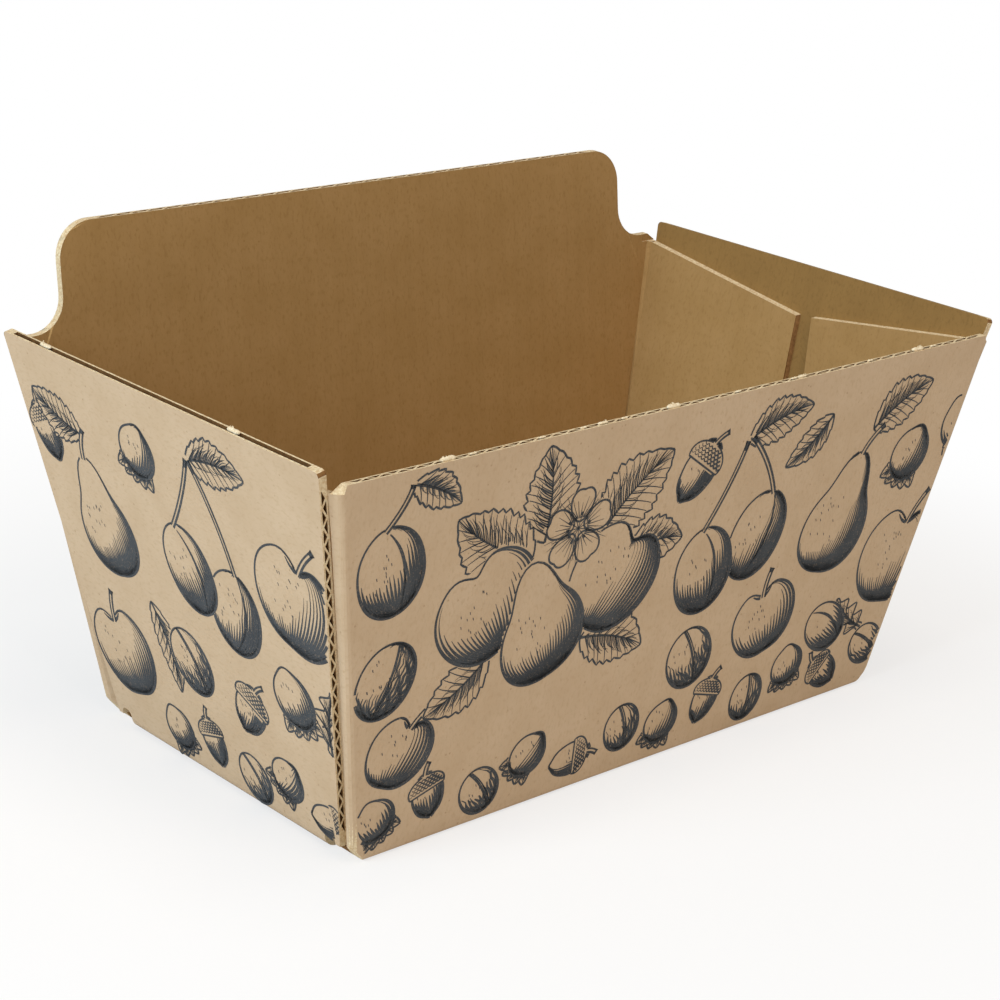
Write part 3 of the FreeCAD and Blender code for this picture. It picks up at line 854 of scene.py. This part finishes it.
def walnut(pen, centre, size, tilt):
    """A wrinkled shell with its seam."""
    seam = turned(bend((0.0, 1.0), (0.30, 0.0), (0.0, -1.0), 24), tilt, centre, size / 2)
    pen.stroke(seam, 0.5)
    pen.stroke(seam + (0.55, 0), 0.25)
    fruit(pen, centre, size, tilt, lambda a: 0.93 + 0.07 * math.cos(2 * a),
          wrinkle=0.035, contrast=1.7, level=0.30)

# %% [markdown]
# ### Where the drawings stand
#
# A big bunch is the eye-catcher on each long wall, fruit on stems hang from the rim, and a band
# of nuts runs along the bottom. Some drawings run off the edge, as on any printed sheet that is cut
# after printing. What is drawn first lies in front.

# %% Lay the drawings out
def bunch(pen, x, y):
    """Three fruits with leaves and a blossom, about 45 mm across."""
    blossom(pen, (x + 3, y + 13), 15, 0.3)
    pear(pen, (x - 1, y - 5), 22, 0.35, stem=False)
    apple(pen, (x - 14, y + 3), 20, 0.5, stem=False)
    apple(pen, (x + 13, y + 2), 20, -0.5, stem=False)
    leaf(pen, (x - 6, y + 10), (x - 23, y + 20), 12, teeth=11, dark_side=-1)
    leaf(pen, (x + 8, y + 10), (x + 22, y + 23), 13, teeth=11)
    leaf(pen, (x - 4, y + 12), (x - 6, y + 29), 11, teeth=10, curl=-0.1)
    leaf(pen, (x - 12, y - 6), (x - 24, y - 14), 9, teeth=8)
    leaf(pen, (x + 8, y - 8), (x + 23, y - 13), 10, teeth=9, dark_side=-1)
    leaf(pen, (x + 15, y + 6), (x + 28, y + 6), 9, teeth=8)


def nut_row(pen, start, end, height, step=10.5):
    """A loose band of nuts and acorns along the bottom."""
    x = start
    index = 0
    while x < end:
        lift = height + (1.6 if index % 2 else -1.2)
        if index % 3 == 0:
            hazelnut(pen, (x, lift + 1), 8.5, 0.5 - 0.4 * (index % 4))
        elif index % 3 == 1:
            acorn(pen, (x, lift), 8.5, 0.9 - 0.6 * (index % 5))
        else:
            walnut(pen, (x, lift), 9.0, 0.3 * (index % 4))
        x += step + 0.8 * math.sin(index * 2.1)
        index += 1


def draw_front(pen):
    bunch(pen, -27, 38)
    nut_row(pen, -58, 62, 7.5)
    plum(pen, (8, 36), 16, 0.25, stem=(13, 59))
    plum(pen, (20, 40), 16, -0.3, stem=(14, 59.5))
    leaf(pen, (13, 59), (28, 63), 8, teeth=9)
    acorn(pen, (2, 56), 11, -0.6)
    walnut(pen, (9, 19), 12, 0.4)
    pear(pen, (41, 37), 22, -0.25)
    leaf(pen, (46, 55), (60, 62), 9, teeth=9)
    apple(pen, (27, 22), 15, 0.3)
    hazelnut(pen, (58, 48), 11, -0.4)
    apple(pen, (61, 27), 20, -0.2)
    leaf(pen, (34, 60), (24, 52), 6, teeth=7)
    plum(pen, (-62, 52), 15, 0.3, stem=(-60, 66))
    walnut(pen, (-60, 33), 13, -0.3)
    leaf(pen, (-60, 66), (-50, 61), 6, teeth=7)
    apple(pen, (-55, 19), 13, -0.4)
    hazelnut(pen, (71, 52), 11, 0.4)
    plum(pen, (45, 16), 11, 0.9)
    leaf(pen, (56, 13), (47, 21), 6, lobed=True, teeth=8)


def draw_end(pen):
    pear(pen, (-21, 41), 20, 0.25)
    leaf(pen, (-23, 58), (-36, 63), 8, teeth=9)
    plum(pen, (2, 42), 15, 0.35, stem=(7, 63))
    plum(pen, (13, 38), 15, -0.25, stem=(7.5, 63))
    leaf(pen, (7, 63), (22, 64), 8, teeth=9)
    apple(pen, (30, 46), 19, -0.3)
    walnut(pen, (-3, 23), 12, 0.5)
    hazelnut(pen, (25, 27), 11, 0.3)
    apple(pen, (-24, 17), 17, 0.3)
    acorn(pen, (-34, 56), 10, 0.4)
    acorn(pen, (12, 20), 10, -0.5)
    hazelnut(pen, (-7, 60), 10, -0.3)
    nut_row(pen, -11, 32, 7.0, step=10)
    leaf(pen, (33, 20), (36, 33), 7, lobed=True, teeth=8)
    leaf(pen, (-12, 31), (-8, 15), 6, teeth=8)


def draw_back(pen):
    bunch(pen, 24, 44)
    nut_row(pen, -60, 60, 7.5)
    plum(pen, (-8, 44), 16, 0.25, stem=(-3, 69))
    plum(pen, (4, 38), 15, -0.3, stem=(-2.5, 69))
    leaf(pen, (-3, 69), (-18, 73), 8, teeth=9)
    pear(pen, (-34, 46), 22, 0.3)
    apple(pen, (-56, 36), 20, -0.2)
    walnut(pen, (-20, 24), 13, 0.2)
    apple(pen, (-40, 21), 14, -0.4)
    leaf(pen, (-36, 65), (-50, 74), 9, teeth=9)
    hazelnut(pen, (-57, 59), 11, 0.3)
    acorn(pen, (3, 22), 11, 0.7)
    plum(pen, (58, 52), 15, -0.3, stem=(52, 72))
    leaf(pen, (52, 72), (39, 76), 7, teeth=8)
    walnut(pen, (60, 30), 13, 0.3)
    apple(pen, (43, 20), 13, 0.4)
    hazelnut(pen, (10, 74), 10, -0.5)
    acorn(pen, (-24, 77), 10, 0.2)

# %% [markdown]
# ### Ink on the walls
#
# Water-based ink sinks into kraft paper: it is matt, its slate blue is dulled by the brown beneath,
# and it is thinner where the fibres stand up, so paper shows through in fine grains. The strips
# stay within the flat outer faces, which are found from the board's own sizes.

# %% Print the walls
PROUD = 0.03 * MM
INK_GRAIN, INK_PATCH = 0.35 * MM, 7 * MM
LONG_FOOT = 58.6
NOTCH_CORNER = (61.0, 6.0)
RIM_CORNER = (72.2, 68.2)
RAISED_SIDE, RAISED_TOP = 64.2, 86.1
END_CORNERS = [(27.0, 0.9), (31.0, 4.6), (41.3, 71.4)]


def mirrored(right_half):
    """A symmetric outline from its right half, lowest point first."""
    return right_half + [(-across, up) for across, up in reversed(right_half)]


LONG_BORDER = mirrored([(LONG_FOOT, 0.7), NOTCH_CORNER, RIM_CORNER])
BACK_BORDER = mirrored([(LONG_FOOT, 0.7), NOTCH_CORNER, RIM_CORNER,
                        (RAISED_SIDE, 69.5), (RAISED_SIDE, RAISED_TOP)])
END_BORDER = mirrored(END_CORNERS)


def slate_ink():
    """Matt flexographic ink with paper grain showing through."""
    material, shader = new_material("slate_blue_flexo_ink", 0.7, 0.3)
    place = add_node(material, "ShaderNodeTexCoord").outputs["Object"]
    grain = noise(material, place, INK_GRAIN, 3.0, 0.7)
    patches = noise(material, place, INK_PATCH, 2.0)
    base = mix_colours(material, ramp(material, patches, 0.35, 0.7), srgb("35393D"), srgb("43474A"))
    coat(material, shader,
         mix_colours(material, ramp(material, grain, 0.56, 0.80), base, srgb("8F7C68")))
    return material


ink = slate_ink()


def print_wall(wall, border, draw):
    """The pen's ink as a mesh on a wall's outer face."""
    pen = Pen(border)
    draw(pen)
    mesh = bpy.data.meshes.new(f"print_{wall.name}")
    points = [wall.place(across * MM, up * MM, PROUD) for across, up in pen.points]
    mesh.from_pydata(points, [], pen.faces)
    mesh.materials.append(ink)
    mesh.update()
    piece = bpy.data.objects.new(f"print_{wall.name}", mesh)
    bpy.context.scene.collection.objects.link(piece)
    facing_in = {face.index for face in mesh.polygons if face.normal.dot(wall.out) < 0}
    if facing_in:
        make_active(piece)
        for face in mesh.polygons:
            face.select = face.index in facing_in
        bpy.ops.object.mode_set(mode="EDIT")
        bpy.ops.mesh.flip_normals()
        bpy.ops.object.mode_set(mode="OBJECT")
    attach(piece, "root")
    print(piece.name, len(pen.faces), "strips")


print_wall(WALLS["front"], LONG_BORDER, draw_front)
print_wall(WALLS["back"], BACK_BORDER, draw_back)
print_wall(WALLS["left"], END_BORDER, draw_end)
print_wall(WALLS["right"], END_BORDER, draw_end)

# %% [markdown]
# ## Torn tufts on the rim
#
# Where the blank was broken out of its neighbours the die leaves small nicks, and each nick tears a
# tuft of pale fibres. A tuft is a few flattened lumps of pulp with fibres standing off them, all
# primitives shaped in edit mode. Tufts keep within the board's outer faces.

# %% Tear the tufts
PULP_LUMPS = 3
FIBRES = 8
tuft_rng = random.Random(11)


def one_tuft(place, along, size):
    """Lumps and fibres round a point of a top edge, in a mesh that is being edited."""
    for lump in range(PULP_LUMPS):
        shift = along * size * (lump / (PULP_LUMPS - 1) - 0.5) * 0.9
        spot = place + shift + Vector((0, 0, 0.12 * size))
        bpy.ops.mesh.primitive_ico_sphere_add(subdivisions=2, radius=size * 0.30, location=spot)
        stretch = [1 + 0.9 * abs(along.x), 1 + 0.9 * abs(along.y), tuft_rng.uniform(0.6, 1.0)]
        bpy.ops.transform.resize(value=stretch, center_override=spot)
    for _ in range(FIBRES):
        foot = place + along * size * tuft_rng.uniform(-0.75, 0.75)
        tilt = Vector((tuft_rng.uniform(-0.5, 0.5), tuft_rng.uniform(-0.3, 0.5), 1)).normalized()
        length = size * tuft_rng.uniform(0.35, 0.62)
        bpy.ops.mesh.primitive_cone_add(
            vertices=5, radius1=size * 0.14, radius2=size * 0.04, depth=length,
            location=foot + tilt * length * 0.4,
            rotation=tilt.to_track_quat("Z", "Y").to_euler())


def torn_tufts(name, spots, along):
    """All tufts of one top edge as one piece: each spot is a point and a size."""
    mesh = bpy.data.meshes.new(name)
    piece = bpy.data.objects.new(name, mesh)
    bpy.context.scene.collection.objects.link(piece)
    mesh.materials.append(torn_pulp)
    make_active(piece)
    bpy.ops.object.mode_set(mode="EDIT")
    for place, size in spots:
        one_tuft(place, along, size)
    bpy.ops.object.mode_set(mode="OBJECT")
    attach(piece, "root")
    print(name, len(mesh.polygons), "faces")


torn_pulp = raw_pulp("torn_pulp_tufts", "F0E4C8", "D8C29C", 0.4 * MM, 0.95)
BIG, MEDIUM, SMALL = 1.5 * MM, 1.05 * MM, 0.7 * MM
RIM_TUFTS = [(0.136, BIG), (0.17, SMALL), (0.264, SMALL), (0.322, SMALL), (0.35, MEDIUM),
             (0.382, SMALL), (0.456, BIG), (0.558, SMALL), (0.65, SMALL), (0.663, MEDIUM),
             (0.782, SMALL), (0.868, BIG), (0.898, SMALL)]
END_TUFTS = [(30 * MM, BIG), (-20.5 * MM, BIG)]

rim_y = -RIM_HALF_WIDTH + 0.45 * BOARD
torn_tufts("torn_tufts_front",
           [(Vector(((2 * share - 1) * RIM_CREASE, rim_y, RIM_HEIGHT)), size)
            for share, size in RIM_TUFTS], Vector((1, 0, 0)))
end_x = -(HALF_LENGTH + END_HEIGHT * math.tan(END_LEAN)) + 0.6 * BOARD
torn_tufts("torn_tufts_left",
           [(Vector((end_x, y, END_HEIGHT)), size) for y, size in END_TUFTS], Vector((0, 1, 0)))

# %% [markdown]
# ## Floor, light and camera
#
# The box stands on a plain pale floor. To the camera the floor and the air behind are white, and
# to the box they are a plain pale grey, so white never comes from too much light.

# %% Floor
WHITE = 1.0
FLOOR_SIZE = 12.0
bpy.ops.mesh.primitive_plane_add(size=FLOOR_SIZE, location=(0, 0, -0.01 * MM))
floor = bpy.context.active_object
floor.name = "studio_floor"
bpy.ops.object.transform_apply(location=True, rotation=True, scale=True)
SHADOW_SHARE = 0.34
SHADOW_NEAR, SHADOW_FAR = 0.085, 0.20
floor_paint, floor_shader = new_material("pale_studio_floor", 0.9, 0.0)
floor_shader.inputs["Base Color"].default_value = srgb("F2F1EF")
paths = add_node(floor_paint, "ShaderNodeLightPath")
spot = add_node(floor_paint, "ShaderNodeTexCoord").outputs["Object"]
away = add_node(floor_paint, "ShaderNodeVectorMath", {"operation": "LENGTH"}, {"Vector": spot})
plainness = add_node(floor_paint, "ShaderNodeMapRange",
                     {"From Min": SHADOW_NEAR, "From Max": SHADOW_FAR, "To Min": 1 - SHADOW_SHARE,
                      "interpolation_type": "SMOOTHSTEP"}, {"Value": away.outputs["Value"]})
share = add_node(floor_paint, "ShaderNodeMath", {"operation": "MULTIPLY"},
                 {0: paths.outputs["Is Camera Ray"], 1: plainness.outputs["Result"]})
plain = add_node(floor_paint, "ShaderNodeEmission", {"Color": srgb("FFFFFF"), "Strength": WHITE})
lifted = add_node(floor_paint, "ShaderNodeMixShader", None,
                  {"Fac": share.outputs["Value"], 1: floor_shader.outputs["BSDF"],
                   2: plain.outputs["Emission"]})
floor_end = floor_paint.node_tree.nodes["Material Output"]
floor_paint.node_tree.links.new(lifted.outputs["Shader"], floor_end.inputs["Surface"])
floor.data.materials.append(floor_paint)
print("floor shadow share:", SHADOW_SHARE)

# %% [markdown]
# The air lights the box evenly from all round. A light path tells the camera's own rays apart, so
# that the camera sees white where the box gets a weaker light.

# %% Air
AIR_LIGHT = 0.38
world = bpy.data.worlds.new("studio_air")
bpy.context.scene.world = world
world.use_nodes = True
lit = world.node_tree.nodes["Background"]
lit.inputs["Color"].default_value = srgb("FFFFFF")
lit.inputs["Strength"].default_value = AIR_LIGHT
seen = add_node(world, "ShaderNodeBackground", {"Color": srgb("FFFFFF"), "Strength": WHITE})
air_paths = add_node(world, "ShaderNodeLightPath")
air = add_node(world, "ShaderNodeMixShader", None,
               {"Fac": air_paths.outputs["Is Camera Ray"], 1: lit.outputs["Background"],
                2: seen.outputs["Background"]})
air_end = world.node_tree.nodes["World Output"]
world.node_tree.links.new(air.outputs["Shader"], air_end.inputs["Surface"])
print("air lights with", AIR_LIGHT, "and shows as", WHITE)

# %% [markdown]
# Three square soft boxes stand in for the studio's: a cool key from the left, a warm fill from the
# front and a weak one on top. Large lamps give the soft edges that the photograph's shade has.

# %% Soft lamps
LAMP_AIM = Vector((0, 0, 0.04))


def soft_lamp(name, place, size, power, tint):
    """A square soft box that looks at the tray."""
    bpy.ops.object.light_add(type="AREA", location=place)
    lamp = bpy.context.active_object
    lamp.name = name
    lamp.data.size = size
    lamp.data.energy = power
    lamp.data.color = srgb(tint)[:3]
    aim = LAMP_AIM - Vector(place)
    lamp.rotation_euler = aim.to_track_quat("-Z", "Y").to_euler()


soft_lamp("key_soft_box", (-0.95, 0.0, 0.55), 0.55, 8.4, "E0F1FF")
soft_lamp("fill_soft_box", (-0.10, -0.75, 0.95), 0.6, 4.0, "FFEBD8")
soft_lamp("top_soft_box", (0.0, -0.12, 0.90), 0.3, 1.5, "FFF6E8")

# %% [markdown]
# The camera stands where the photograph's did, worked out from the box's corners: a point, and the
# three directions that the picture's axes have in the box's frame.

# %% Camera at the photograph's angle
LENS, SENSOR = 88.498, 36.0
NEAREST = 0.01
CAMERA_PLACE = Vector((-278.29, -294.61, 183.81)) * MM
RIGHT = Vector((0.74292, -0.66703, 0.05596))
DOWN = Vector((-0.18773, -0.28787, -0.93909))
FORWARD = Vector((0.64251, 0.68717, -0.33909))

bpy.ops.object.camera_add(location=CAMERA_PLACE)
camera = bpy.context.active_object
camera.data.lens = LENS
camera.data.sensor_width = SENSOR
camera.data.clip_start = NEAREST
turn = Matrix((RIGHT, -DOWN, -FORWARD)).transposed()
camera.rotation_mode = "QUATERNION"
camera.rotation_quaternion = turn.to_quaternion()
bpy.context.scene.camera = camera
bpy.context.scene.view_settings.view_transform = "Standard"
print("camera at", [round(value, 3) for value in camera.location])
